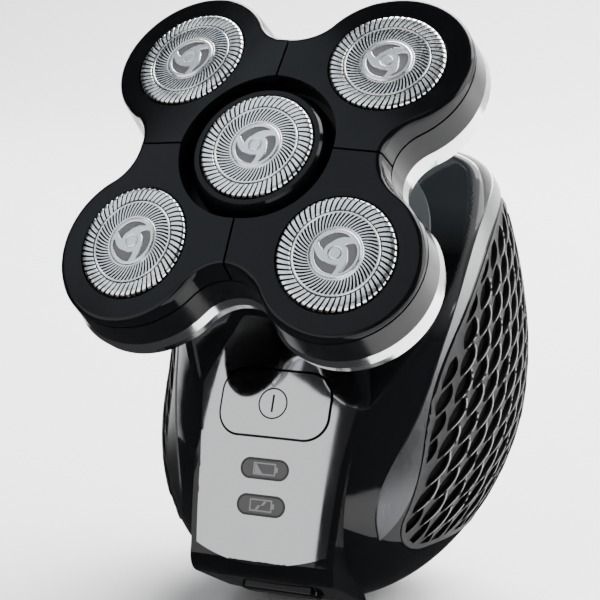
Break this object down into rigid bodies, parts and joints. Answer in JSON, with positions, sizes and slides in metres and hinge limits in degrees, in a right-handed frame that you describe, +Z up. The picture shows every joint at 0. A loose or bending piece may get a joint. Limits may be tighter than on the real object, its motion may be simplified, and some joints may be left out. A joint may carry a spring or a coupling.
{
  "type": "electric shaver",
  "caption": "Palm-held rotary electric shaver with a lobed pull-off head of spring-mounted round cutters, a power button, side grips and a hinged charging flap.",
  "frame": {"origin": "centre of the small flat that the handle stands on", "axes": "+Z up, -Y towards the front with the power button, +X the shaver's side at a front viewer's right hand"},
  "size_m": [0.0712, 0.0954, 0.1129],
  "materials": {
    "black_gloss": "gloss",
    "grip_rubber": "satin",
    "trim_grey": "satin",
    "silver": "polished",
    "window": "gloss",
    "seal_rubber": "matte",
    "steel": "brushed",
    "cutter_steel": "brushed",
    "badge_metal": "satin",
    "battery_wrap": "satin",
    "board": "satin",
    "inner_black": "matte",
    "led": "gloss",
    "nylon": "matte"
  },
  "bodies": {
    "handle": {"front_shell": "black_gloss", "rear_shell": "black_gloss", "right_grip": "grip_rubber", "left_grip": "grip_rubber", "grip_trim": "trim_grey", "front_panel": "silver", "low_battery_window": "window", "charging_window": "window", "base_cover": "black_gloss", "flap_pin": "steel", "charging_inlet": "inner_black", "neck_collar": "black_gloss", "motor": "steel", "motor_bracket": "steel", "bracket_screws": "steel", "shaft_seal": "seal_rubber", "battery_cell": "battery_wrap", "battery_tabs": "steel", "circuit_board": "board", "tact_switch": "inner_black", "indicator_leds": "led", "shell_screws": "steel"},
    "power_button": {"power_button": "silver"},
    "port_flap": {"port_flap": "black_gloss"},
    "drive_shaft": {"drive_shaft": "steel"},
    "head": {"head_base": "black_gloss", "rim_band": "silver", "gear_plate": "nylon", "gear_plate_screws": "steel", "flexure_plate": "steel", "pod_frame": "nylon", "hub_collar": "black_gloss"},
    "centre_gear": {"centre_gear": "nylon"},
    "centre_pod": {"cap_centre": "cutter_steel", "badge_centre": "badge_metal"},
    "centre_cutter": {"cutter_centre": "cutter_steel"},
    "upper_right_gear": {"gear_upper_right": "nylon"},
    "upper_right_pod": {"petal_upper_right": "black_gloss", "cap_upper_right": "cutter_steel", "badge_upper_right": "badge_metal"},
    "upper_right_cutter": {"cutter_upper_right": "cutter_steel"},
    "upper_left_gear": {"gear_upper_left": "nylon"},
    "upper_left_pod": {"petal_upper_left": "black_gloss", "cap_upper_left": "cutter_steel", "badge_upper_left": "badge_metal"},
    "upper_left_cutter": {"cutter_upper_left": "cutter_steel"},
    "lower_left_gear": {"gear_lower_left": "nylon"},
    "lower_left_pod": {"petal_lower_left": "black_gloss", "cap_lower_left": "cutter_steel", "badge_lower_left": "badge_metal"},
    "lower_left_cutter": {"cutter_lower_left": "cutter_steel"},
    "lower_right_gear": {"gear_lower_right": "nylon"},
    "lower_right_pod": {"petal_lower_right": "black_gloss", "cap_lower_right": "cutter_steel", "badge_lower_right": "badge_metal"},
    "lower_right_cutter": {"cutter_lower_right": "cutter_steel"}
  },
  "joints": [
    {"name": "power_press", "type": "slide", "parent": "handle", "child": "power_button", "axis": [0, 0.9578, -0.2874], "range_m": [0, 0.0005], "stiffness_N_per_m": 2500},
    {"name": "port_flap_hinge", "type": "hinge", "parent": "handle", "child": "port_flap", "pos_m": [0, -0.0248, 0.00924], "axis": [-1, 0, 0], "range_deg": [0, 100]},
    {"name": "head_pull", "type": "slide", "parent": "handle", "child": "head", "axis": [0, -0.8059, 0.592], "range_m": [0, 0.018]},
    {"name": "drive_shaft_spin", "type": "hinge", "parent": "handle", "child": "drive_shaft", "pos_m": [0, -0.01108, 0.07496], "axis": [0, -0.8059, 0.592], "continuous": true},
    {"name": "centre_gear_spin", "type": "hinge", "parent": "head", "child": "centre_gear", "pos_m": [0, -0.01833, 0.08029], "axis": [0, -0.8059, 0.592], "continuous": true},
    {"name": "centre_pod_float", "type": "slide", "parent": "head", "child": "centre_pod", "axis": [0, 0.8059, -0.592], "range_m": [0, 0.0008], "stiffness_N_per_m": 900},
    {"name": "centre_cutter_spin", "type": "hinge", "parent": "centre_pod", "child": "centre_cutter", "pos_m": [0, -0.02881, 0.08798], "axis": [0, -0.8059, 0.592], "continuous": true},
    {"name": "upper_right_gear_spin", "type": "hinge", "parent": "head", "child": "upper_right_gear", "pos_m": [0.0186, -0.00733, 0.09528], "axis": [0, -0.8059, 0.592], "continuous": true},
    {"name": "upper_right_pod_rock", "type": "hinge", "parent": "head", "child": "upper_right_pod", "pos_m": [0.01912, -0.01369, 0.1006], "axis": [-0.7071, 0.4186, 0.5699], "range_deg": [-1.5, 1.5], "stiffness_Nm_per_rad": 0.4},
    {"name": "upper_right_cutter_spin", "type": "hinge", "parent": "upper_right_pod", "child": "upper_right_cutter", "pos_m": [0.0194, -0.01571, 0.10243], "axis": [0.1033, -0.7361, 0.6689], "continuous": true},
    {"name": "upper_left_gear_spin", "type": "hinge", "parent": "head", "child": "upper_left_gear", "pos_m": [-0.0186, -0.00733, 0.09528], "axis": [0, -0.8059, 0.592], "continuous": true},
    {"name": "upper_left_pod_rock", "type": "hinge", "parent": "head", "child": "upper_left_pod", "pos_m": [-0.01912, -0.01369, 0.1006], "axis": [-0.7071, -0.4186, -0.5699], "range_deg": [-1.5, 1.5], "stiffness_Nm_per_rad": 0.4},
    {"name": "upper_left_cutter_spin", "type": "hinge", "parent": "upper_left_pod", "child": "upper_left_cutter", "pos_m": [-0.0194, -0.01571, 0.10243], "axis": [-0.1033, -0.7361, 0.6689], "continuous": true},
    {"name": "lower_left_gear_spin", "type": "hinge", "parent": "head", "child": "lower_left_gear", "pos_m": [-0.0186, -0.02934, 0.0653], "axis": [0, -0.8059, 0.592], "continuous": true},
    {"name": "lower_left_pod_rock", "type": "hinge", "parent": "head", "child": "lower_left_pod", "pos_m": [-0.01912, -0.03632, 0.06978], "axis": [0.7071, -0.4186, -0.5699], "range_deg": [-1.5, 1.5], "stiffness_Nm_per_rad": 0.4},
    {"name": "lower_left_cutter_spin", "type": "hinge", "parent": "lower_left_pod", "child": "lower_left_cutter", "pos_m": [-0.0194, -0.03869, 0.07117], "axis": [-0.1033, -0.8584, 0.5024], "continuous": true},
    {"name": "lower_right_gear_spin", "type": "hinge", "parent": "head", "child": "lower_right_gear", "pos_m": [0.0186, -0.02934, 0.0653], "axis": [0, -0.8059, 0.592], "continuous": true},
    {"name": "lower_right_pod_rock", "type": "hinge", "parent": "head", "child": "lower_right_pod", "pos_m": [0.01912, -0.03632, 0.06978], "axis": [0.7071, 0.4186, 0.5699], "range_deg": [-1.5, 1.5], "stiffness_Nm_per_rad": 0.4},
    {"name": "lower_right_cutter_spin", "type": "hinge", "parent": "lower_right_pod", "child": "lower_right_cutter", "pos_m": [0.0194, -0.03869, 0.07117], "axis": [0.1033, -0.8584, 0.5024], "continuous": true}
  ],
  "couplings": [
    {"joint": "drive_shaft_spin", "follows": "centre_gear_spin", "ratio": 1},
    {"joint": "centre_cutter_spin", "follows": "centre_gear_spin", "ratio": 1},
    {"joint": "upper_right_gear_spin", "follows": "centre_gear_spin", "ratio": -1.8333},
    {"joint": "upper_right_cutter_spin", "follows": "centre_gear_spin", "ratio": -1.8333},
    {"joint": "upper_left_gear_spin", "follows": "centre_gear_spin", "ratio": -1.8333},
    {"joint": "upper_left_cutter_spin", "follows": "centre_gear_spin", "ratio": -1.8333},
    {"joint": "lower_left_gear_spin", "follows": "centre_gear_spin", "ratio": -1.8333},
    {"joint": "lower_left_cutter_spin", "follows": "centre_gear_spin", "ratio": -1.8333},
    {"joint": "lower_right_gear_spin", "follows": "centre_gear_spin", "ratio": -1.8333},
    {"joint": "lower_right_cutter_spin", "follows": "centre_gear_spin", "ratio": -1.8333}
  ]
}
